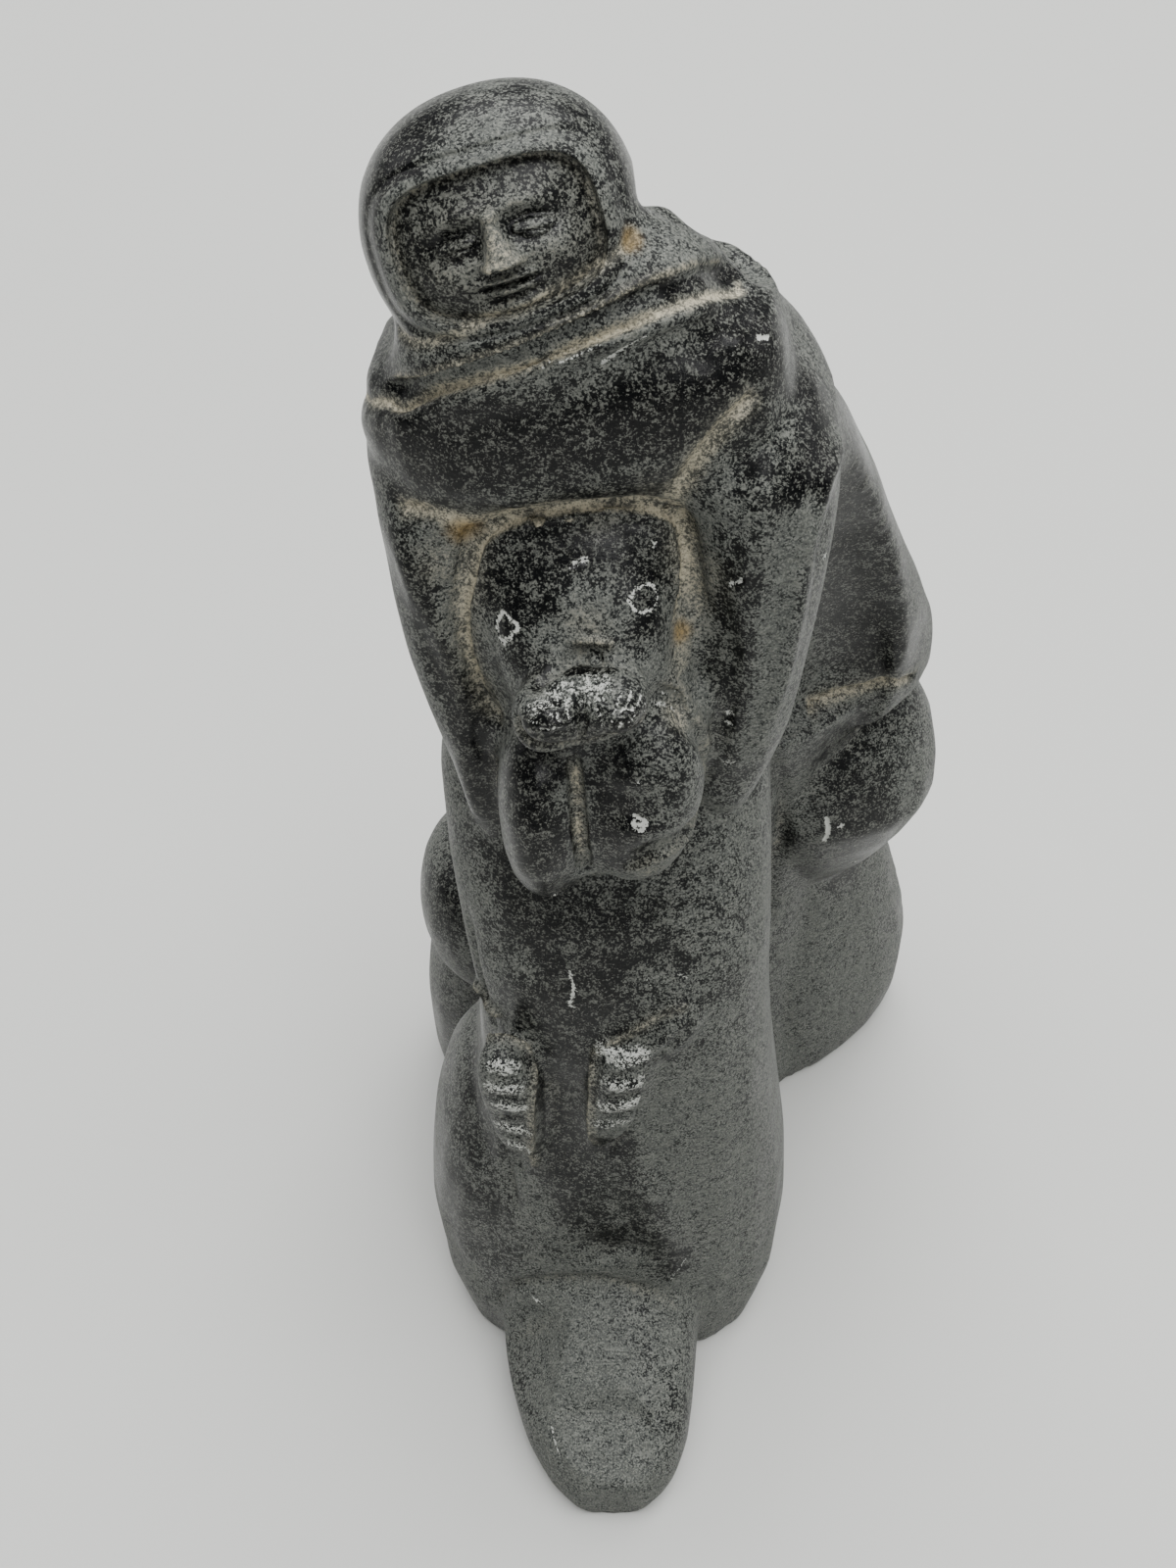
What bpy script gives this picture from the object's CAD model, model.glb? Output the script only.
import math

import bmesh
import bpy
import numpy as np
from mathutils import Matrix, Vector, kdtree, noise
from mathutils.bvhtree import BVHTree


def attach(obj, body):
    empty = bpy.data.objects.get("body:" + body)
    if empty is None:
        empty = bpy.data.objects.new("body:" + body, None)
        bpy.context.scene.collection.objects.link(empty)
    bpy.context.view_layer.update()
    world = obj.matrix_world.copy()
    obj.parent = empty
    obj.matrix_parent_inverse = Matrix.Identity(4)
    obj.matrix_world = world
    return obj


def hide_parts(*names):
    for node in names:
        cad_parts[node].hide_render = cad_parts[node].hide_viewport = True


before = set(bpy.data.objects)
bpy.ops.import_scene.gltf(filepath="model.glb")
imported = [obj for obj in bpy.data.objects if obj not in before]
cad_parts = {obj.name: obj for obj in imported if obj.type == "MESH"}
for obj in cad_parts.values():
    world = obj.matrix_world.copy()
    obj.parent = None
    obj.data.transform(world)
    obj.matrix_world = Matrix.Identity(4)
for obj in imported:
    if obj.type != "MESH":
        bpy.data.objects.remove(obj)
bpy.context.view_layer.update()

# ---- The roughed-out block -------------------------------------------------------------------
# One block of soapstone, sawn flat underneath. The carver roughs the masses out, then files and
# sands them until they run into each other. Every later section cuts into this one mesh, and
# all its sizes are in millimetres.

RASP_STEP = 0.8  # spacing of the mesh after roughing out
KEPT_EDGE = math.radians(33)  # corners at least this sharp survive the sanding
FILE_ROUNDS = 70
SANDING_ROUNDS = 3
PUSH_BACK = 0.515  # keeps the filed stone from shrinking
SAWN_FLAT = 0.45  # what lies this near the ground is sawn flat
FAR = 9  # stands for a place with no corner near it

block = bmesh.new()
block.from_mesh(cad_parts["hunter_carving"].data)
bmesh.ops.remove_doubles(block, verts=block.verts, dist=2e-6)
bmesh.ops.scale(block, vec=(1000, 1000, 1000), verts=block.verts)

corner_points = []
for edge in block.edges:
    if len(edge.link_faces) == 2 and edge.calc_face_angle(0) > KEPT_EDGE:
        start, end = (v.co for v in edge.verts)
        steps = max(1, int((end - start).length / RASP_STEP))
        corner_points += [start.lerp(end, (i + 0.5) / steps) for i in range(steps)]

rough_mesh = bpy.data.meshes.new("rough_block")
block.to_mesh(rough_mesh)
block.free()
rough = bpy.data.objects.new("rough_block", rough_mesh)
bpy.context.scene.collection.objects.link(rough)
remesh = rough.modifiers.new("even_surface", "REMESH")
remesh.mode = "VOXEL"
remesh.voxel_size = RASP_STEP
stone = bpy.data.meshes.new_from_object(
    rough.evaluated_get(bpy.context.evaluated_depsgraph_get())
)
bpy.data.objects.remove(rough)


def places():
    """Where the stone's points are, in millimetres."""
    co = np.empty(len(stone.vertices) * 3, np.float32)
    stone.vertices.foreach_get("co", co)
    return co.reshape(-1, 3).astype(float)


def put(co):
    """Moves the stone's points to these places."""
    stone.vertices.foreach_set("co", co.astype(np.float32).ravel())
    stone.update()


def sanded(co, weight, rounds, push_back=0.0):
    """Each point moves towards the middle of its neighbours. Where a push back is given it then
    moves out again, so that the stone loses its facets and keeps its size."""
    ends = np.empty(len(stone.edges) * 2, np.int32)
    stone.edges.foreach_get("vertices", ends)
    a, b = ends.reshape(-1, 2).T
    count = np.bincount(np.r_[a, b], minlength=len(co))
    pull = weight[:, None]
    for _ in range(rounds):
        for step in (0.5, -push_back) if push_back else (0.5,):
            middle = np.column_stack([
                np.bincount(a, co[b, k], len(co)) + np.bincount(b, co[a, k], len(co))
                for k in range(3)
            ]) / count[:, None]
            co = co + step * pull * (middle - co)
    return co


def step_up(low, high, value):
    """A soft step from 0 at low to 1 at high."""
    t = np.clip((value - low) / (high - low), 0, 1)
    return t * t * (3 - 2 * t)


# The face is cut afresh later, so no corner is kept inside the hood's opening.
HEAD_AT = Vector((-20.8, 2.6, 173.4))
HEAD_TURN = Matrix.Rotation(math.radians(-24), 3, "X") @ Matrix.Rotation(math.radians(-16), 3, "Y")
to_head = np.array(HEAD_TURN.inverted())


def in_head(co):
    """Places seen from the head: right, back and up from its middle."""
    return (co - np.array(HEAD_AT)) @ to_head.T


corners = kdtree.KDTree(len(corner_points))
for i, point in enumerate(corner_points):
    corners.insert(point, i)
corners.balance()
co = places()
off_corner = np.array([corners.find(p)[2] for p in co])
local = in_head(co)
on_face = (np.abs(local[:, 0] / 9.2) ** 3 + np.abs((local[:, 2] + 0.4) / 6.6) ** 3 < 1) & (
    local[:, 1] < -6
)
off_corner[on_face] = FAR
co = sanded(co, step_up(0.3, 2.6, off_corner), FILE_ROUNDS, PUSH_BACK)
co = sanded(co, np.ones(len(co)), SANDING_ROUNDS)
underside = co[:, 2] < SAWN_FLAT
co[:, 2] = np.maximum(co[:, 2], 0)
co[underside, 2] = 0
put(co)

# ---- The collar and the chest --------------------------------------------------------------------
# Two flat bands run round the neck under the hood, each filed a step back from the one above,
# and the parka's smooth chest swells below them. The files leave pale powder in the corners.


def outward():
    """Which way is out of the stone at each of its points."""
    no = np.empty(len(stone.vertices) * 3, np.float32)
    stone.vertex_normals.foreach_get("vector", no)
    return no.reshape(-1, 3).astype(float)


def surface():
    """The stone as it is now, for lines to be drawn on."""
    bm = bmesh.new()
    bm.from_mesh(stone)
    tree = BVHTree.FromBMesh(bm)
    bm.free()
    return tree


skin = surface()


def smooth_run(points, step=0.3):
    """A smooth curve through the points, as places about one step apart."""
    p = np.array(points, float)
    if len(p) == 1:
        return p
    p = np.vstack([2 * p[0] - p[1], p, 2 * p[-1] - p[-2]])
    run = []
    for a, b, c, d in zip(p, p[1:], p[2:], p[3:]):
        count = max(1, int(np.linalg.norm(c - b) / step))
        t = np.arange(count)[:, None] / count
        run.append(0.5 * (2 * b + (c - a) * t + (2 * a - 5 * b + 4 * c - d) * t**2
                          + (3 * b - a - 3 * c + d) * t**3))
    return np.vstack([*run, p[-2:-1]])


def drawn(points):
    """A line drawn on the stone: a smooth curve through points with three numbers goes to the
    nearest places on the surface, and one with two is laid on it as seen from the front."""
    run = smooth_run(points)
    if run.shape[1] == 3:
        return np.array([skin.find_nearest(Vector(place))[0] for place in run])
    far_in_front = -400
    hits = [skin.ray_cast(Vector((x, far_in_front, z)), Vector((0, 1, 0)))[0] for x, z in run]
    return np.array([hit for hit in hits if hit is not None])


def beside(line, radius):
    """The stone's points within a radius of a line: which they are, how far off they are, how
    far along the line, from 0 to 1, and how far to its right as seen from outside."""
    co, no = places(), outward()
    near = np.flatnonzero(
        ((co > line.min(0) - radius) & (co < line.max(0) + radius)).all(1)
    )
    sub = co[near]
    nearest = np.concatenate([
        ((part[:, None] - line[None]) ** 2).sum(2).argmin(1)
        for part in np.array_split(sub, len(sub) * len(line) // 2_000_000 + 1)
    ]) if len(near) else np.zeros(0, int)
    apart = sub - line[nearest]
    off = np.linalg.norm(apart, axis=1)
    way = np.gradient(line, axis=0) if len(line) > 1 else np.array([[0.0, 0, 1]])
    way /= np.maximum(np.linalg.norm(way, axis=1, keepdims=True), 1e-9)
    right = (apart * np.cross(way[nearest], no[near])).sum(1)
    keep = off < radius
    along = nearest / max(1, len(line) - 1)
    return near[keep], off[keep], along[keep], right[keep]


def move(which, out):
    """Moves points out of the stone, or into it."""
    co = places()
    co[which] += outward()[which] * out[:, None]
    put(co)


def tint(name, which, value):
    """Raises one of the stone's surface values to at least this, at these points."""
    layer = stone.attributes.get(name) or stone.attributes.new(name, "FLOAT", "POINT")
    now = np.empty(len(stone.vertices), np.float32)
    layer.data.foreach_get("value", now)
    now[which] = np.maximum(now[which], np.clip(value, 0, 1))
    layer.data.foreach_set("value", now)


def finer(lines, radius, rounds=1):
    """Splits the mesh near some lines, so that it can hold finer work."""
    for _ in range(rounds):
        near = np.zeros(len(stone.vertices), bool)
        for line in lines:
            near[beside(line, radius)[0]] = True
        bm = bmesh.new()
        bm.from_mesh(stone)
        edges = {
            edge
            for vert, wanted in zip(bm.verts, near)
            if wanted
            for face in vert.link_faces
            for edge in face.edges
        }
        bmesh.ops.subdivide_edges(bm, edges=list(edges), cuts=1, use_grid_fill=True)
        bm.to_mesh(stone)
        bm.free()


def ended(along, taper):
    """Fades a cut out at both of its ends."""
    return step_up(0, taper, np.minimum(along, 1 - along) + 1e-6) if taper else 1.0


def groove(points, width, depth, powder=0.0, taper=0.12, spread=1.6):
    """A cut along a line, width across from its middle to its edge, or a ridge where the depth
    is negative. Pale powder from the sanding stays in it, and spreads past it."""
    line = drawn(points)
    which, off, along, _ = beside(line, width * max(2.0, 2 * spread))
    end = ended(along, taper)
    move(which, -depth * np.exp(-((off / (0.62 * width)) ** 2)) * end)
    if powder:
        tint("powder", which, powder * np.exp(-((off / (width * spread)) ** 2)) * end)


def ledge(points, drop, run, left=False, crisp=0.7, taper=0.12, powder=0.0):
    """A step along a line: the stone to its right, or to its left, is cut down and comes back
    up over a run. Powder lies against the step, and thins out away from it."""
    which, _, along, right = beside(drawn(points), run)
    if left:
        right = -right
    low = step_up(-crisp, crisp, right) * (1 - step_up(0.25 * run, 0.95 * run, right))
    move(which, -drop * low * ended(along, taper))
    if powder:
        tint("powder", which, powder * step_up(-crisp, 0.5 * crisp, right)
             * np.exp(-np.abs(right) / (0.5 * run)) * ended(along, taper))


def swell(points, radius, height):
    """A low mound along a line, or a hollow where the height is negative."""
    which, off, along, _ = beside(drawn(points), radius)
    end = ended(along, 0.3) if len(points) > 1 else 1
    move(which, height * (1 - (off / radius) ** 2) ** 2 * end)


def smoothed(lines, radius, rounds, only_out=False):
    """Sands the stone near lines. Only outwards, it fills a channel and leaves what is high."""
    weight = np.zeros(len(stone.vertices))
    for line in lines:
        which, off, _, _ = beside(line, radius)
        weight[which] = np.maximum(weight[which], 1 - step_up(0.45 * radius, radius, off))
    co, no = places(), outward()
    new = sanded(co, weight, rounds)
    if only_out:
        new = co + no * np.maximum(((new - co) * no).sum(1), 0)[:, None]
    put(new)


def filed(place, facing, radius):
    """Files a flat face across whatever stands out past a plane, near a place."""
    facing = np.array(facing) / np.linalg.norm(facing)
    co = places()
    past = (co - np.array(place)) @ facing
    reach = 1 - step_up(0.7 * radius, radius, np.linalg.norm(co - np.array(place), axis=1))
    co -= (np.maximum(past, 0) * reach)[:, None] * facing
    put(co)


NECK_LINE = [(-30.6, -3.8, 166.4), (-28.5, -8, 167.5), (-25.2, -9.7, 169.6), (-21.6, -9.5, 171.8),
             (-17.2, -9.1, 173.4), (-12.8, -7.7, 175), (-10.1, -5.6, 175.8), (-8.3, -2, 175.5)]
BAND_EDGE = [(-32.4, -4.7, 160.4), (-26.3, -10.5, 166), (-19.9, -10.9, 168.9),
             (-12.8, -9.8, 171.9), (-7.5, -8, 174), (-3.9, -6, 174.4), (0.6, 3, 168.5)]
BAND_FOOT = [(-35.2, 4, 152.8), (-34.8, -1, 155.4), (-33.1, -5.2, 158.1), (-28.2, -9.7, 163.1),
             (-21.7, -11.4, 166.3), (-17.2, -11.1, 167.8), (-12.8, -10.2, 169.9), (-9.2, -9.5, 171.1),
             (-5.7, -8.3, 172), (-2.1, -6.2, 171.6), (2.3, 1.6, 167)]
smoothed([drawn(BAND_EDGE)], 3.4, 20)
smoothed([drawn([(-5, -2, 175), (0, 2, 172)])], 5.5, 40)
filed((-2.4, 3.2, 171.1), (0.46, 0.51, 0.73), 9.6)
filed((0.3, 6.7, 166.6), (0.73, 0.38, 0.58), 6)
skin = surface()
finer([drawn(NECK_LINE), drawn(BAND_FOOT)], 3.2)
groove(NECK_LINE, 0.8, 0.25, powder=0.55, taper=0.05, spread=1.0)
ledge(BAND_EDGE, 1.3, 3.8, crisp=0.35, taper=0.03)
skin = surface()
groove(BAND_EDGE, 0.45, -0.25, powder=0.5, taper=0.05, spread=1.2)
groove(BAND_FOOT, 0.8, 1.2, powder=0.78, taper=0.02, spread=0.95)
smoothed([drawn([(-5, -7.5, 172.8), (-1, -3, 171.5), (1.5, 2, 168)]),
          drawn([(-33.6, -4.6, 158.6), (-35, 0, 156)])], 3.2, 9)

swell([(-34.2, -2, 152.4)], 8, 1.5)
smoothed([drawn([(-34.2, -2, 153), (-34, -4, 149)])], 6, 12)
CHEST_FOOT = [(-32.1, -8.4, 147.5), (-29.1, -9.7, 148.3), (-24.3, -10.1, 147.6),
              (-20.4, -10.4, 148.3), (-17.5, -11.7, 150), (-12.8, -11.2, 150.3),
              (-8, -8.9, 149.4), (-4.6, -8.8, 149.6), (-2.6, -10, 148.6)]
SHOULDER_LINE = [(-5.2, -9.4, 149.6), (-4, -10.4, 152), (-3.2, -11.4, 154.4), (-1.7, -11.3, 157.3),
                 (0.5, -10.2, 160), (3.8, -8.2, 162.4)]
smoothed([drawn(CHEST_FOOT)], 5, 60, only_out=True)
smoothed([drawn(SHOULDER_LINE)], 3.5, 20)
skin = surface()
finer([drawn(CHEST_FOOT), drawn(SHOULDER_LINE)], 3)
groove(CHEST_FOOT, 1.2, 0.7, powder=0.66, taper=0.05, spread=1.2)
groove(SHOULDER_LINE, 1.2, 0.8, powder=0.62, taper=0.1, spread=1.3)

# ---- The hunter's hood and face ----------------------------------------------------------------
# A close round hood with a flat rim around a squared opening. The face is cut back inside it:
# a calm one on plain proportions, with its eyes half way up and long closed lids.

OPENING = (9.8, 6.9)  # half its width and half its height
OPENING_UP = 0.3
SQUARED = 3.2  # 2 would be an ellipse, and more is squarer
HOOD = (13.2, 12.3, 13.0)
FACE_DEPTH = 2.1
EYE_OUT = 3.6  # from the middle of the face


def opening_at(local):
    """Right of the opening's middle, up from it, and how near its edge: 1 is on it."""
    across, up = local[:, 0], local[:, 2] - OPENING_UP
    rim = (np.abs(across / OPENING[0]) ** SQUARED + np.abs(up / OPENING[1]) ** SQUARED) ** (1 / SQUARED)
    return across, up, rim


finer([np.array([HEAD_AT + HEAD_TURN @ Vector((0, -11, 0.3))])], 13, 2)
co = places()
local = in_head(co)
across, up, rim = opening_at(local)
hood_front = HOOD[2] * np.clip(
    1 - np.abs(across / HOOD[0]) ** 2.25 - np.abs(local[:, 2] / HOOD[1]) ** 2.25, 0, 1
) ** (1 / 2.25)
front = (local[:, 1] < -5) & (rim < 1.5)


def hump(x, z, wide, high):
    """A soft mound on the face, about its middle."""
    return np.exp(-((x / wide) ** 2) - (z / high) ** 2)


def relief_at(across, up):
    """How far the face stands out of its hollow, right of its middle and up from it."""
    side = np.abs(across)
    tilt = up + 0.1 * side - 0.1  # the outer corners of the eyes and brows sit a little lower
    relief = 0.5 * step_up(7.0, 3.0, side) * hump(0, tilt + 0.05 * (side - EYE_OUT) ** 2 - 3.2, 1, 0.75)
    relief -= 1.1 * hump(side - EYE_OUT, tilt - 1.0, 2.4, 1.3)
    lid = np.clip(1 - ((side - EYE_OUT) / 2.0) ** 2 - ((tilt - 0.75) / 0.85) ** 2, 0, 1)
    relief += 1.1 * np.sqrt(lid)
    relief -= 0.4 * (lid > 0) * np.exp(-(((tilt - 0.4 + 0.05 * (side - EYE_OUT) ** 2) / 0.17) ** 2))
    down = np.clip((2.8 - up) / 4.8, 0, 1)  # along the nose, from between the brows to its tip
    nose_half = 0.7 + 0.95 * down ** 2
    nose = np.exp(-((across / nose_half) ** 4)) * step_up(-2.35, -1.85, up) * step_up(3.4, 2.4, up)
    relief += (0.7 + 1.7 * down) * nose
    relief += 0.7 * hump(side - 1.5, up + 1.7, 0.6, 0.5)
    relief += 0.55 * hump(side - 4.9, up + 1.7, 2.6, 1.7)
    relief += 0.75 * hump(across, up + 3.25, 2.5, 0.36) + 0.8 * hump(across, up + 4.35, 2.1, 0.42)
    relief -= 0.75 * hump(across, up + 3.8, 2.6, 0.22)
    relief -= 0.45 * hump(across, up + 5.0, 2.2, 0.35)
    relief += 0.9 * hump(across, up + 5.9, 2.8, 0.8)
    return relief


relief = relief_at(across, up)
face = hood_front - FACE_DEPTH + 0.4 * (1 - np.minimum(rim, 1) ** 2) + relief
inside = 1 - step_up(0.94, 1.0, rim)
local[front, 1] = (-face * inside + local[:, 1] * (1 - inside))[front]
local[front, 1] += (0.45 * np.exp(-(((rim - 1.17) / 0.045) ** 2)))[front]
co[front] = (local[front] @ np.array(HEAD_TURN).T) + np.array(HEAD_AT)
put(co)
around = np.flatnonzero(front & (rim < 1.4))
tint("powder", around, 0.34 * np.exp(-(((rim[around] - 0.93) / 0.07) ** 2)))
tint("powder", around, (rim[around] < 0.93) * np.clip(0.12 + 0.25 * relief[around], 0, 0.45))
skin = surface()

# ---- The sleeves ---------------------------------------------------------------------------------
# Each sleeve runs down from the shoulder to its mitt beside the seal's head, in flat filed
# faces that meet along a ridge. Shallow channels part them from the head.

LEFT_CHANNEL = [(-23.7, -10.4, 147), (-24.7, -11.6, 141.5), (-25, -12.6, 134.8),
                (-24.5, -13, 130.4), (-23, -12.9, 125.5), (-21.6, -12.1, 121.5)]
RIGHT_CHANNEL = [(-4.1, -8.8, 148.4), (-3.2, -9, 144.4), (-2.9, -9.5, 140.2),
                 (-3, -12, 136.4), (-3.6, -14.6, 133), (-3.4, -15, 130)]
smoothed([drawn(LEFT_CHANNEL), drawn(RIGHT_CHANNEL)], 5.5, 160)
smoothed([drawn([(-1.3, -12, 128.5)]), drawn([(-1.3, -13.5, 131)])], 6, 160)
smoothed([drawn([(-22.8, -13.1, 123.6)])], 4, 120)
skin = surface()
finer([drawn(LEFT_CHANNEL), drawn(RIGHT_CHANNEL)], 2.8)
for channel in (LEFT_CHANNEL, RIGHT_CHANNEL):
    groove(channel, 1.5, 0.6, powder=0.4, taper=0.05, spread=1.5)
HEAD_EDGE = [(-22.8, -12.8, 124.4), (-23.9, -12.8, 130), (-24.2, -12.2, 135.8), (-23.7, -11.7, 140.9),
             (-22.6, -10.4, 144.6), (-19.6, -9.9, 146.7), (-14.7, -9.9, 148), (-9.9, -10, 148.3),
             (-5.8, -9, 147), (-4.1, -8.7, 144.2), (-3.7, -11.3, 140.5), (-3.7, -14, 137.6),
             (-4.5, -16.3, 134.7)]
skin = surface()
finer([drawn(HEAD_EDGE)], 2.4)
ledge(HEAD_EDGE, 0.9, 3.4, left=True, crisp=0.35, taper=0.08, powder=0.85)
groove([(-32.1, -8.6, 146.6), (-30, -11.6, 139.4), (-27.7, -12.9, 133.7), (-26, -13.7, 127.1),
        (-25.7, -14.5, 113.9), (-24.1, -14.2, 103.3)], 2.4, -0.8)
groove([(5.9, -8.7, 156.3), (4.1, -11.9, 152.9), (3.4, -13.7, 146.8), (3.3, -14.5, 139.5),
        (3.6, -15, 128.6), (3, -15, 119.3), (2.6, -14.9, 112.8)], 2.4, -0.7)
groove([(12.5, 0, 150), (11, -7.9, 151.8), (9.9, -10.3, 150.2), (8.8, -12.9, 146.1),
        (8.3, -13.8, 138.8), (7.4, -14.4, 129.4), (5.8, -14.7, 122.1), (4.6, -14.8, 115.9)],
       1.6, -0.6)

# ---- The seal's head -------------------------------------------------------------------------------
# A broad flat brow that narrows to a blunt muzzle with two whisker pads. The eyes are scratched
# rings, and the nose is rubbed with a point until the stone shows white.

MUZZLE = [(-19.6, -22.4, 137.2), (-17.4, -20.8, 138.2), (-14.4, -19.6, 138.6), (-11, -19.8, 138.6),
          (-8, -20.6, 137.8), (-6.2, -22.6, 136.4)]
CHIN = [(-20, -23.6, 135.2), (-19.4, -25.6, 133.4), (-17.2, -26.6, 132.2), (-13.8, -26.4, 131.8),
        (-10, -26.2, 132.6), (-7.4, -25.4, 133.8), (-6, -23.6, 135.4)]
finer([drawn([(-12.8, -22, 137)])], 9)
groove(MUZZLE, 1.2, 1.3, powder=0.12, taper=0.15)
groove([(-14.6, -19.2, 138.9), (-12.2, -19, 139.3), (-9.8, -19.2, 138.9)], 0.6, -0.5, powder=0.45)
groove(CHIN, 1.1, 1.1, powder=0.3, taper=0.1)
groove([(-13.6, -23.4, 137.6), (-13.4, -25.4, 136.2), (-13.3, -26.6, 134.4), (-13.4, -26, 132.6)],
       0.9, 0.9, taper=0.15)
swell([(-17, -24.6, 136), (-16.4, -26, 134.4)], 3.2, 0.7)
swell([(-10, -24.6, 136.4), (-9.8, -26, 134.8)], 3.2, 0.7)

# ---- The mitts -----------------------------------------------------------------------------------
# Two thumbless mitts clasp each other under the seal's chin. A pale cut parts them, and the
# right one has a raised rim around its polished palm.

smoothed([drawn([(-3.6, -13.5, 134.5), (-3.2, -15, 131.4), (-1.6, -16, 128.6)])], 5.5, 160)
skin = surface()
MITT_CUT = [(-14.4, -21.1, 126), (-14, -22.5, 121.8), (-13.7, -24, 117.3), (-13.1, -24.1, 108.7)]
RIM = [(-6.4, -18.8, 134), (-3.7, -16.5, 129.6), (-1.5, -17.9, 127), (-0.6, -17, 118.6),
       (-1, -20, 113.6), (-4.5, -25.5, 113.6), (-7.6, -25.8, 111.8), (-10.2, -25.3, 111)]
smoothed([drawn(MITT_CUT)], 4.4, 120)
skin = surface()
finer([drawn(MITT_CUT), drawn(RIM)], 2.4)
groove(MITT_CUT, 0.45, 1.0, powder=0.75, taper=0.2, spread=0.45)
groove(MITT_CUT, 1.4, 0.9, taper=0.1)
ledge(RIM, 1.0, 4.6, crisp=0.5, taper=0.12)
swell([(-8, -23.6, 124), (-7.6, -25.4, 118)], 5, -0.8)
groove(RIM, 0.8, -0.4, powder=0.3, taper=0.1)
swell([(-18.5, -23, 121), (-17.6, -25.6, 108)], 4.5, 0.5)

# ---- The seal's body, flippers and tail -------------------------------------------------------------
# A long upright body with small clawed flippers carved on it in low relief. It ends in two low
# lobes and a blunt tail, which lies on the ground and is rougher than the rest.

FLIPPER_BANDS = (
    [(-12.4, -24.5, 74), (-8.2, -24.3, 78.3), (-4.2, -24, 81.9), (-0.8, -23.2, 83.4)],
    [(-12.2, -25, 75), (-12.2, -26.8, 68.2), (-12.2, -25.6, 54.6)],
    [(-27.4, -15, 76), (-24.6, -22, 76.4), (-22.7, -23.5, 75.6), (-19.6, -23.6, 73)],
    [(-19.6, -24.2, 74), (-19.7, -26.9, 66.3), (-20.1, -25, 47)],
)
swell([(-14.8, -24, 74), (-15.4, -25, 60), (-15.3, -25.6, 44)], 4.5, -0.8)
skin = surface()
finer([drawn(band) for band in FLIPPER_BANDS], 2.4)
for band in FLIPPER_BANDS:
    groove(band, 0.75, -0.9, powder=0.42, taper=0.08, spread=1.1)
RIGHT_CLAWS = [((-10.8, 76.4), (-6.4, 77.6)), ((-10.8, 72.4), (-6.4, 73.6)),
               ((-10.8, 68), (-6.8, 69.2)), ((-10.8, 63.4), (-8, 64.4))]
LEFT_CLAWS = [((-23.8, 75), (-21, 74.6)), ((-23.8, 71.4), (-21, 71.2)),
              ((-23.4, 67), (-21, 66.7)), ((-23, 61.6), (-21, 61)), ((-22.4, 56), (-21, 55.4))]
finer([drawn(claw) for claw in RIGHT_CLAWS + LEFT_CLAWS], 1.8)
dice = np.random.default_rng(7)
for claw in RIGHT_CLAWS + LEFT_CLAWS:
    claw = [tuple(np.array(end) + dice.normal(0, 0.28, 2)) for end in claw]
    groove(claw, dice.uniform(0.8, 1.3), -0.45, taper=0.1)
    which, off, _, _ = beside(drawn(claw), 1.8)
    tint("chip", which, dice.uniform(0.36, 0.58) * (1 - step_up(0.6, 1.8, off)))
for a, b in list(zip(RIGHT_CLAWS, RIGHT_CLAWS[1:])) + list(zip(LEFT_CLAWS, LEFT_CLAWS[1:])):
    gap = [tuple((p + q) / 2 for p, q in zip(a[k], b[k])) for k in (0, 1)]
    groove(gap, 0.6, 0.5, taper=0.1)
groove([(-0.6, -24, 82), (-4.6, -26, 76), (-5.4, -27, 70), (-6.6, -26.6, 62.6),
        (-10.5, -25.6, 51.5)], 1.3, 0.9)
groove([(-26.4, -23, 76), (-25.4, -25, 66), (-24.6, -24.6, 57), (-22.8, -23.4, 47), (-20, -24, 43)],
       1.3, 0.9)
LOBE_CREASE = [(-26.6, -14.5, 92), (-26.9, -17, 82), (-26.6, -20, 72), (-25.2, -23, 59),
               (-23.2, -22.4, 42.3), (-21.2, -24.4, 32)]
groove(LOBE_CREASE, 1.5, 0.9)
swell([(-6, -26, 52), (-4.5, -26, 40), (-1.5, -26, 28)], 4.5, 0.7)
swell([(-13, -26, 34), (-8, -26, 27)], 5.5, -0.9)
groove([(-25.9, -24.3, 8.9), (-22.2, -25.6, 18.6), (-12.8, -27, 22.7), (-4.7, -27.6, 19.7),
        (2.2, -28.5, 12.7)], 1.6, 0.7)
filed((-19.6, -40.4, 11.4), (-0.8, -0.1, 0.62), 16)
filed((-11, -46, 11.2), (0.05, -0.45, 0.9), 9)
swell([(-12, -36, 16), (-11, -42, 14)], 7, 0.7)

# ---- The parka's back, the legs and the boots --------------------------------------------------------
# The parka swings back behind the seal and ends in a rounded hem over two short legs. Its fold
# is cut here, and the side away from the seal is left plain.

HEM = [(13.3, 14.5, 92), (15.2, 16, 92.6), (17.6, 16.6, 93.2), (21.2, 16.7, 94.2),
       (24.5, 16.4, 95.6), (28.2, 19.3, 92.9)]
smoothed([drawn([(13.8, 5.7, 144.9), (16.2, 6.1, 139.1), (18.6, 9.5, 130.4), (21, 11.9, 122.1),
                 (23, 13.3, 114.5), (24.4, 14.2, 107.1)])], 4.5, 16)
smoothed([drawn(HEM)], 5, 80, only_out=True)
skin = surface()
finer([drawn(HEM)], 2.4)
groove(HEM, 0.9, 0.8, powder=0.6, taper=0.05)
groove([(9.5, 2, 96), (11.8, 8, 86), (12.6, 12, 76), (12.2, 13, 62), (12.6, 14, 46)], 1.6, 0.8)

# ---- Scratches, chips and polish ----------------------------------------------------------------------
# Eyes, claws and whiskers are scratched white with a point. Other pale nicks are knocks, and
# the high places have been rubbed dark and glossy by hand.


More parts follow.
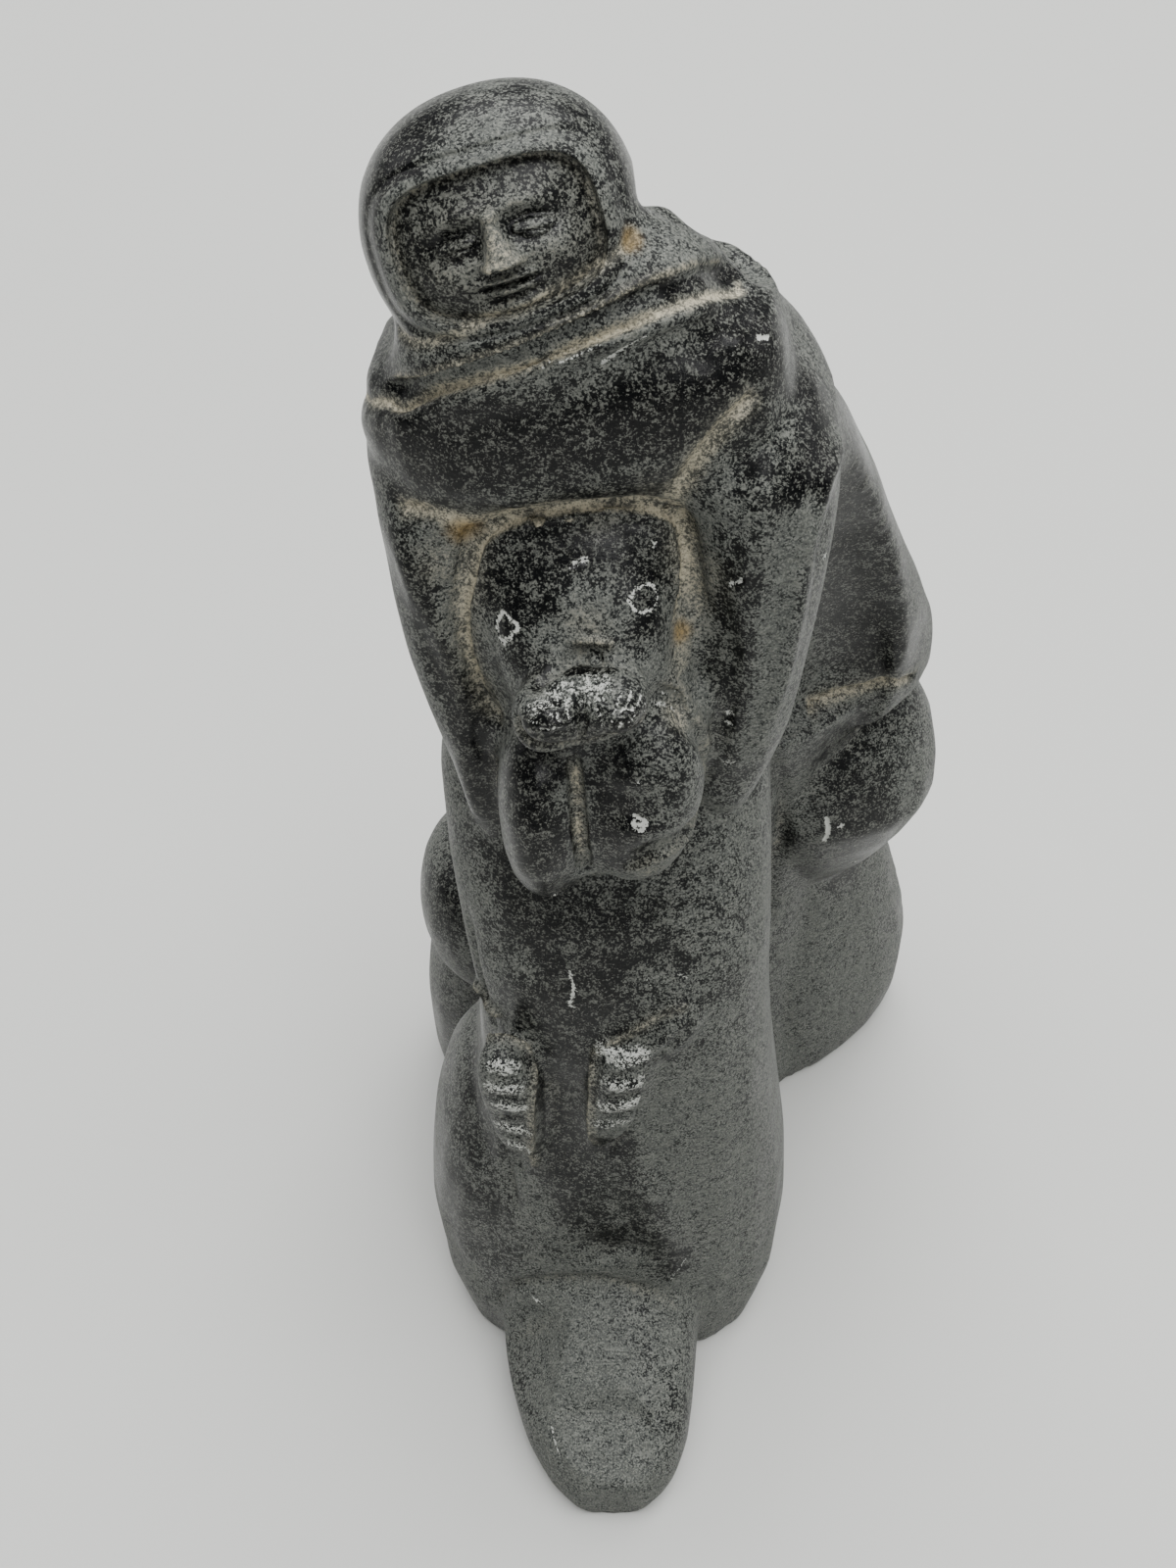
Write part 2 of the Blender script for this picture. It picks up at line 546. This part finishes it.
def rubbed(points, radius, amount):
    """Brings the polish near a line towards an amount: 1 is dark and glossy, 0 is bare stone."""
    which, off, _, _ = beside(drawn(points), radius)
    part = 1 - step_up(0.15 * radius, radius, off)
    polish[which] += (amount - polish[which]) * part


def nick(place, size):
    """A small ragged chip: four short strokes that cross at a place."""
    return [
        ([tuple(np.array(place) + sign * stroke) for sign in (-1, 1)], 0.15)
        for stroke in dice.normal(0, 0.4 * size, (4, 3))
    ]


SCRATCHES = [
    ([(-22.1, -15.3, 138.2), (-21.6, -15.2, 139), (-21.2, -15.2, 139.6), (-20.4, -15.8, 139.3),
      (-19.7, -16.5, 138.9), (-20.3, -16.7, 138), (-20.7, -16.8, 137.4), (-21.6, -16.4, 136.8),
      (-21.9, -15.8, 137.4), (-22.1, -15.3, 138.2)], 0.21),
    ([(-8.7, -15.8, 141.9), (-7.9, -15, 142.7), (-6.3, -14.3, 142.6), (-5.8, -14.8, 141.2),
      (-6.4, -15.6, 140.6), (-7.8, -16.3, 140.7), (-8.7, -15.8, 141.9)], 0.17),
    ([(-18.6, -24.4, 136), (-17, -25.4, 134.9)], 0.12),
    ([(-16.6, -24.6, 136.6), (-15.6, -26, 135.2)], 0.13),
    ([(-15, -24.4, 136.8), (-14.6, -26, 135.6)], 0.14),
    ([(-11.6, -24.6, 137.2), (-11.2, -26.2, 135.6)], 0.13),
    ([(-9.4, -25, 137), (-9, -26.4, 135.4)], 0.12),
    ([(-7.4, -24.4, 136.2), (-7.2, -25.8, 134.8)], 0.12),
    ([(-7.1, -18.6, 130.2), (-4.5, -17.9, 128.2)], 0.15),
    ([(-5.6, -18, 131), (-3.6, -17, 129.4)], 0.13),
    ([(-18, -24.9, 136.3), (-16.4, -25.2, 136.3)], 0.16),
    ([(-18.2, -25.9, 135.5), (-16.1, -26.3, 135.2)], 0.16),
    ([(-17.6, -25.4, 135.9), (-15.9, -25.7, 135.9)], 0.14),
    ([(-9, -26.3, 136), (-7.5, -24.3, 137.3)], 0.14),
    ([(-9.7, -26.5, 135.8), (-8.5, -24.4, 138.1)], 0.14),
    ([(-8.2, -26.1, 135), (-7, -24.6, 135.9)], 0.14),
    ([(-10.3, -26.4, 136.2), (-9.6, -24.6, 138)], 0.14),
    ([(1, -7, 166.7), (0.1, -8.6, 165.1)], 0.05),
    ([(1.6, -7, 166.2), (3.2, -7.6, 164.3)], 0.05),
    ([(-11.4, -9.8, 166.7), (-7.4, -9.7, 169.5)], 0.16),
    ([(-16.8, -11.4, 166.9), (-11.9, -10.3, 169.4)], 0.12),
    ([(-8, -25.4, 119.8), (-6.8, -25.6, 119.2), (-7.2, -26, 118.2), (-8.1, -25.9, 118.8),
      (-8, -25.4, 119.8)], 0.22),
    ([(-14.9, -22.4, 88.2), (-14.4, -23, 85.6), (-14.9, -23.6, 83.4)], 0.2),
    ([(-14.6, -22.9, 86), (-13.9, -22.9, 85.3)], 0.13),
    ([(-15.3, -23.5, 83.3), (-14.3, -23.7, 82.8)], 0.15),
    ([(-2.6, -22.4, 87.6), (-1.5, -22.4, 86.9)], 0.16),
    ([(-6, -22.9, 87.4), (-5.6, -22.9, 86.4)], 0.12),
    ([(18.2, 12.8, 72.8), (18.6, 12.4, 70.8), (18.3, 12.2, 68.8)], 0.26),
    ([(-17.8, -43, 12.4), (-16.8, -47, 10.6)], 0.14),
    ([(-1.4, -26.6, 22), (0.4, -26, 26.5)], 0.12),
    ([(3.1, -5.4, 166), (4, -4.8, 165.6)], 0.26),
]
for place, size in (
    ((-14, -13.5, 144.6), 1.1), ((-13.2, -13.4, 145), 0.8), ((-6.3, -11, 145), 0.6),
    ((1.9, -13.9, 142.6), 1.1), ((2.1, -14.8, 124.6), 0.9), ((2.2, -14.8, 123), 0.6),
    ((2.4, -15, 116.9), 0.5), ((-7.8, -24.4, 124.3), 0.4), ((10.9, -10.6, 142.8), 0.8),
    ((-20.1, -28.3, 18), 0.9), ((-30.5, -8.1, 60), 0.6), ((-21.6, -16.6, 110), 0.5),
    ((-19.8, -24, 112.6), 0.5), ((-16.4, -24.8, 105.6), 0.5), ((-7.4, -25.6, 119), 0.5),
    ((20, 14, 71), 0.5), ((22, 20, 60), 0.4), ((-14.6, -23, 137.3), 1.0),
    ((-12.6, -23.4, 137.6), 1.0), ((-11.2, -23.6, 138), 0.8),
):
    SCRATCHES += nick(place, size)
lines = [drawn(points) for points, _ in SCRATCHES]
finer(lines, 1.1, 2)
for line, (_, width) in zip(lines, SCRATCHES):
    which, off, _, _ = beside(line, 3 * width + 0.3)
    move(which, -0.5 * width * np.exp(-((off / width) ** 2)))
    tint("chip", which, (0.1 + 3.6 * width) * (1 - step_up(0.5 * width, 1.6 * width + 0.05, off)))
for place, size in (
    ((-15.4, -23.6, 137), 2.3), ((-12.2, -23.7, 137.6), 2.8), ((-17.4, -25, 135.6), 1.6),
):
    which, off, _, _ = beside(drawn([place]), size)
    tint("chip", which, 0.33 * (1 - step_up(0.5 * size, size, off)))

HANDLED = 0.45  # the polish where nothing else is said
BARE = 0.4  # stone with less polish than this is pitted
PIT_DEPTH = 0.22

polish = np.full(len(stone.vertices), HANDLED)
for stroke, radius, amount in (
    # the broad areas, mostly bare or roughly sanded
    ([(-2, -26, 62), (0, -26, 45), (2, -25, 25), (6, -20, 12)], 15, 0.12),
    ([(-14, -32, 18), (-12, -42, 14), (-10, -49, 8)], 15, 0.0),
    ([(24, 22, 40), (25, 24, 20), (18, 20, 8)], 15, 0.1),
    ([(-32, 18, 20), (-29, -18, 30), (-29.6, -17, 40), (-27, -14, 60)], 12, 0.78),
    ([(6, -12, 100), (8, -12, 80), (10, -14, 60)], 9, 0.25),
    ([(-16, -18.5, 139), (-13, -21, 137.6)], 4.5, 0.05),
    ([(-24.8, -10.5, 141), (-23.8, -12, 128)], 3.4, 0.15),
    ([(-1.4, -11, 143), (-1.6, -14, 131)], 3.2, 0.2),
    ([(-3, -18, 126), (-1.5, -18, 119)], 3.6, 0.1),
    # the handled places, mostly rubbed dark
    ([(-31, -7, 155), (-22, -10, 158), (-10, -11, 160), (-1, -9, 162)], 9, 0.95),
    ([(-30, -9, 150.6), (-18, -11, 152.6), (-6, -10, 154)], 5, 0.85),
    ([(-33, -2, 168), (-34, 2, 172), (-33.6, 1, 179), (-30, 2, 184)], 8, 0.95),
    ([(-31, -5, 171), (-31.4, -4, 181)], 5, 0.95),
    ([(-11, 2, 184), (-9, 3, 178)], 6, 0.85),
    ([(1, -6, 167), (5, -5, 164), (7.6, -3, 158), (7, -9, 153)], 8, 0.97),
    ([(-31, -9, 143), (-28, -12.9, 134), (-25.6, -13.8, 124), (-24.4, -14, 108)], 4.5, 0.95),
    ([(6, -8, 157), (3, -12.6, 148), (2, -14, 138), (2, -14.8, 124), (3, -15, 112)], 5, 0.66),
    ([(-20.6, -13, 142), (-14, -13.6, 144.6), (-7, -12.4, 144.6)], 6.5, 0.84),
    ([(-13, -15.6, 142), (-10.4, -17, 140.6)], 3.4, 0.3),
    ([(-14.6, -20.8, 138), (-11, -21, 138.2)], 1.7, 1.0),
    ([(-20.6, -17, 134.6), (-18.6, -20, 135.6)], 3.4, 0.75),
    ([(-6.4, -17, 139)], 4, 0.7),
    ([(-17.6, -25.6, 134.6), (-13.4, -25.8, 134), (-9, -25.4, 135)], 3.6, 0.95),
    ([(-20.9, -15.9, 138.2)], 1.4, 1.0),
    ([(-7.3, -15.3, 141.4)], 1.4, 1.0),
    ([(-18.6, -22, 124), (-18, -24, 116), (-17.4, -25, 106)], 5.5, 0.97),
    ([(-10.6, -23.6, 124), (-9.4, -25, 118), (-8.4, -25.6, 112)], 4.4, 1.0),
    ([(-20, -16, 103), (-16, -20, 95), (-9, -20, 92), (-16, -23, 82)], 10, 0.92),
    ([(-15.6, -24, 74), (-15.6, -25, 58), (-15, -25.6, 44), (-10, -26.4, 34)], 6.5, 0.85),
    ([(-10, -25, 56), (-6, -26, 40), (-1, -26, 26)], 5.5, 0.8),
    ([(-30, 10, 62), (-32, 15, 50)], 10, 0.7),
    ([(15, 8, 140), (17, 12, 122), (20, 15, 108), (24, 15, 100)], 9, 1.0),
    ([(19, 16, 84), (21, 17, 74), (22.5, 20, 60), (23.5, 23, 48)], 8, 0.8),
    # and last the narrow edges and channels
    ([(8.6, -12, 150), (6.8, -13.8, 145), (6.4, -14.4, 138), (5.8, -14.6, 128),
      (4.8, -14.8, 118)], 3, 0.05),
    ([(-28, -9.6, 163.6), (-18, -10.8, 169), (-8, -7.8, 173), (0, 2, 169)], 3.6, 0.25),
    ([(-32.6, -5, 159.4), (-27.4, -10.1, 164.6), (-20.8, -11.2, 167.6), (-15, -10.7, 169.8),
      (-8.4, -8.9, 172.5), (-4.8, -7.2, 173), (0.8, 2, 168)], 1.5, 0.95),
    ([(-26.6, -11, 143.6), (-26, -12.4, 136), (-24.6, -13, 129)], 2.6, 0.15),
    ([(-2, -16, 129), (0.4, -17, 124), (0.2, -17.4, 118), (-1.4, -20.6, 112.6),
      (-5, -25, 111), (-9, -25, 108.6)], 2.6, 0.1),
):
    rubbed(stroke, radius, amount)
co, outward_now = places(), outward()
local = in_head(co)
across, up, rim = opening_at(local)
in_hood = (local[:, 1] < -5) & (rim < 1.1)
face_polish = np.clip(0.7 - 0.5 * relief_at(across, up), 0.1, 1)
polish[in_hood] = np.where(rim < 0.93, face_polish, 0.4)[in_hood]
tint("polish", np.arange(len(polish)), polish)
for i in np.flatnonzero(polish < BARE):
    spot = Vector(co[i])
    pits = noise.noise(0.55 * spot) + 0.6 * noise.noise(1.3 * spot)
    co[i] += outward_now[i] * PIT_DEPTH * (BARE - polish[i]) / BARE * pits
put(co)
for place, size in (
    ((-24.4, -10.4, 146), 2.6), ((-9.3, -3.6, 175.4), 1.8), ((-3.4, -13.4, 135), 1.8),
):
    which, off, _, _ = beside(drawn([place]), size)
    tint("rust", which, 0.8 * (1 - step_up(0.2 * size, size, off)))
for place, size, amount in (
    ((-27, -12, 143), 5, 0.34), ((-1, -12, 142), 5, 0.3), ((-4.9, -18.5, 127.2), 3.8, 0.45),
    ((-0.5, -17, 121), 4, 0.3), ((-1.5, -20.5, 113), 3.5, 0.28), ((-6, -25, 110.6), 3, 0.26),
    ((-13, -17, 139.6), 4, 0.3), ((-12, -9, 149.6), 6, 0.3), ((-6, -10, 153), 5, 0.25),
):
    which, off, _, _ = beside(drawn([place]), size)
    tint("powder", which, amount * (1 - step_up(0.2 * size, size, off)))
co, no = places(), outward()
evened = sanded(co, np.ones(len(co)), 30)
hollow = -((co - evened) * no).sum(1)
tint("powder", np.arange(len(co)), step_up(0.15, 0.8, hollow) * 0.3)

# ---- The whole stone's finish ----------------------------------------------------------------
# Steatite: black flecks in a grey ground. Its high places are polished dark, and its hollows
# keep grey sanding marks and pale powder.

carving = bpy.data.objects.new("carved_stone", stone)
bpy.context.scene.collection.objects.link(carving)

soapstone = bpy.data.materials.new("speckled_soapstone")
soapstone.use_nodes = True
nodes, links = soapstone.node_tree.nodes, soapstone.node_tree.links
shader = nodes["Principled BSDF"]
where = nodes.new("ShaderNodeTexCoord").outputs["Object"]


def value_at(name):
    """One of the surface values painted on the stone, from 0 to 1."""
    node = nodes.new("ShaderNodeAttribute")
    node.attribute_name = name
    return node.outputs["Fac"]


def clouds(scale, detail=3.0, roughness=0.55, stretch=None, distortion=0.0):
    """Soft noise, turned and stretched where a direction is given."""
    node = nodes.new("ShaderNodeTexNoise")
    node.inputs["Scale"].default_value = scale
    node.inputs["Detail"].default_value = detail
    node.inputs["Roughness"].default_value = roughness
    node.inputs["Distortion"].default_value = distortion
    source = where
    if stretch:
        mapping = nodes.new("ShaderNodeMapping")
        mapping.inputs["Rotation"].default_value = [math.radians(a) for a in stretch[0]]
        mapping.inputs["Scale"].default_value = stretch[1]
        links.new(where, mapping.inputs["Vector"])
        source = mapping.outputs["Vector"]
    links.new(source, node.inputs["Vector"])
    return node.outputs["Fac"]


def between(value, low, high, to_low=0.0, to_high=1.0):
    """A soft step of a value from low to high, between two results."""
    node = nodes.new("ShaderNodeMapRange")
    node.interpolation_type = "SMOOTHSTEP"
    for name, given in zip(("From Min", "From Max", "To Min", "To Max"),
                           (low, high, to_low, to_high)):
        node.inputs[name].default_value = given
    links.new(value, node.inputs["Value"])
    return node.outputs["Result"]


def sums(kind, a, b):
    """Adds, subtracts or multiplies two values."""
    node = nodes.new("ShaderNodeMath")
    node.operation = kind
    for socket, given in zip(node.inputs, (a, b)):
        if isinstance(given, (int, float)):
            socket.default_value = given
        else:
            links.new(given, socket)
    return node.outputs[0]


def blended(amount, under, over):
    """Lays one colour over another by an amount."""
    node = nodes.new("ShaderNodeMix")
    node.data_type = "RGBA"
    for socket, given in zip((node.inputs["Factor"], node.inputs["A"], node.inputs["B"]),
                             (amount, under, over)):
        if isinstance(given, tuple):
            socket.default_value = (*given, 1)
        elif isinstance(given, float):
            socket.default_value = given
        else:
            links.new(given, socket)
    return node.outputs["Result"]


BLACK_FLECK = (0.0015, 0.0018, 0.002)
GREY_FLECK = (0.016, 0.018, 0.017)
GROUND = (0.07, 0.075, 0.069)
SANDED = (0.2, 0.208, 0.186)
DUST = (0.17, 0.168, 0.14)
POWDER = (0.6, 0.54, 0.39)
RUST = (0.27, 0.18, 0.06)
BRUISE = (0.52, 0.53, 0.49)

polish = value_at("polish")
powder = value_at("powder")
patches = clouds(130, 4, 0.6)
clusters = clouds(520, 3, 0.6)
crystals = clouds(1600, 3, 0.7)
fine_grain = clouds(3900, 2, 0.7, distortion=0.3)
long_marks = clouds(1500, 3, 0.65, stretch=((20, 35, 10), (0.16, 1, 1)))
cross_marks = clouds(1500, 3, 0.65, stretch=((-15, 50, 70), (0.2, 1, 1)))
brushed = between(patches, 0.42, 0.58)
brushed = sums("ADD", sums("MULTIPLY", long_marks, brushed),
               sums("MULTIPLY", cross_marks, sums("SUBTRACT", 1.0, brushed)))
speckle = sums("ADD", sums("MULTIPLY", crystals, 0.38), sums("MULTIPLY", fine_grain, 0.44))
speckle = sums("ADD", speckle, sums("MULTIPLY", clusters, 0.18))

# Bare stone is a pale grey ground with scattered flecks. Polish brings the black out until it
# is most of the stone.
worn = sums("ADD", polish, between(patches, 0.3, 0.7, 0.2, -0.2))
ground = blended(between(fine_grain, 0.45, 0.72), GROUND, SANDED)
ground = blended(between(brushed, 0.5, 0.68, 0.0, 0.6), ground, SANDED)
ground = blended(between(worn, 0.35, 1.0, 0.0, 0.45), ground, GREY_FLECK)
fleck_colour = blended(between(worn, 0.0, 0.6), GREY_FLECK, BLACK_FLECK)
edge = sums("SUBTRACT", speckle, between(worn, -0.1, 1.1, 0.44, 0.548))
flecks = between(edge, 0.035, -0.035)
colour = blended(flecks, ground, fleck_colour)

# Dust from the sanding greys the hollows, and packed powder fills the cuts, broken up by the
# grain at its edges.
grit = between(speckle, 0.6, 0.4, 0.0, 0.5)
colour = blended(between(sums("SUBTRACT", powder, grit), -0.3, 0.5, 0.0, 0.75), colour, DUST)
colour = blended(between(sums("SUBTRACT", powder, grit), 0.1, 0.85, 0.0, 0.92), colour, POWDER)
stained = sums("MULTIPLY", value_at("rust"), between(speckle, 0.42, 0.56, 0.35, 1.0))
colour = blended(stained, colour, RUST)
bruised = sums("SUBTRACT", sums("MULTIPLY", value_at("chip"), 1.15),
               between(sums("ADD", crystals, fine_grain), 0.8, 1.2, 0.75, 0.0))
bruised = between(bruised, 0.05, 0.42)
colour = blended(bruised, colour, BRUISE)
links.new(colour, shader.inputs["Base Color"])

dull = sums("ADD", sums("MULTIPLY", powder, 0.3), sums("MULTIPLY", bruised, 0.3))
gloss = between(worn, 0.0, 1.0, 0.62, 0.25)
gloss = sums("ADD", gloss, sums("MULTIPLY", sums("SUBTRACT", brushed, 0.5), 0.2))
links.new(sums("ADD", gloss, dull), shader.inputs["Roughness"])
shader.inputs["Specular IOR Level"].default_value = 0.2
shader.inputs["IOR"].default_value = 1.5

bump = nodes.new("ShaderNodeBump")
bump.inputs["Strength"].default_value = 0.55
bump.inputs["Distance"].default_value = 0.00015
links.new(
    sums("ADD", sums("MULTIPLY", brushed, 0.5),
         sums("MULTIPLY", speckle, between(worn, 0.0, 0.7, 1.9, 0.6))),
    bump.inputs["Height"],
)
links.new(bump.outputs["Normal"], shader.inputs["Normal"])
stone.materials.append(soapstone)

# ---- Back to metres, and onto the frame -------------------------------------------------------
# The flattest triangles are joined until the stone is light enough to export, and the fine
# ones stay where the relief is.

MOST_TRIANGLES = 192_000

thinner = carving.modifiers.new("thinner", "DECIMATE")
thinner.ratio = MOST_TRIANGLES / sum(len(polygon.vertices) - 2 for polygon in stone.polygons)
stone = bpy.data.meshes.new_from_object(
    carving.evaluated_get(bpy.context.evaluated_depsgraph_get())
)
carving.modifiers.clear()
carving.data = stone
put(places() / 1000)
for polygon in stone.polygons:
    polygon.use_smooth = True
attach(carving, "root")
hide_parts("hunter_carving")

# ---- Floor, light and camera -------------------------------------------------------------------
# A plain pale table under a soft overhead light, with a wide window behind and weak fills at
# both sides and in front.

table = bmesh.new()
bmesh.ops.create_grid(table, x_segments=1, y_segments=1, size=2.0)
table_mesh = bpy.data.meshes.new("floor")
table.to_mesh(table_mesh)
table.free()
floor = bpy.data.objects.new("floor", table_mesh)
bpy.context.scene.collection.objects.link(floor)
pale = bpy.data.materials.new("pale_floor")
pale.use_nodes = True
pale.node_tree.nodes["Principled BSDF"].inputs["Base Color"].default_value = (0.6, 0.605, 0.58, 1)
pale.node_tree.nodes["Principled BSDF"].inputs["Roughness"].default_value = 0.6
table_mesh.materials.append(pale)


def softbox(name, at, aim, size, power):
    """A soft rectangular lamp at a place, turned towards another."""
    light = bpy.data.lights.new(name, "AREA")
    light.shape = "RECTANGLE"
    light.size, light.size_y = size
    light.energy = power
    lamp = bpy.data.objects.new(name, light)
    lamp.location = at
    lamp.rotation_euler = (Vector(aim) - Vector(at)).to_track_quat("-Z", "Y").to_euler()
    bpy.context.scene.collection.objects.link(lamp)


softbox("window", (0.1, 0.9, 1.1), (0, 0, 0.08), (1.4, 0.8), 14)
softbox("overhead", (0.1, -0.1, 1.5), (0, 0, 0.08), (1.3, 1.3), 32)
softbox("left_fill", (-1.1, 0.5, 0.7), (0, 0, 0.08), (1.0, 0.8), 3)
softbox("front_window", (0.45, -1.0, 0.75), (0, 0, 0.1), (0.4, 0.4), 3)
softbox("right_fill", (1.1, 0.3, 0.6), (0, 0, 0.08), (1.0, 0.8), 3)

world = bpy.data.worlds.new("studio")
world.use_nodes = True
world.node_tree.nodes["Background"].inputs["Color"].default_value = (0.95, 0.97, 1.0, 1)
world.node_tree.nodes["Background"].inputs["Strength"].default_value = 0.2
bpy.context.scene.world = world

camera_data = bpy.data.cameras.new("camera")
camera_data.sensor_width = 36
camera_data.lens = 51.75
camera = bpy.data.objects.new("camera", camera_data)
camera.location = (-0.01277, -0.17202, 0.300)
camera.rotation_euler = (math.radians(40), 0, 0)
bpy.context.scene.collection.objects.link(camera)
bpy.context.scene.camera = camera
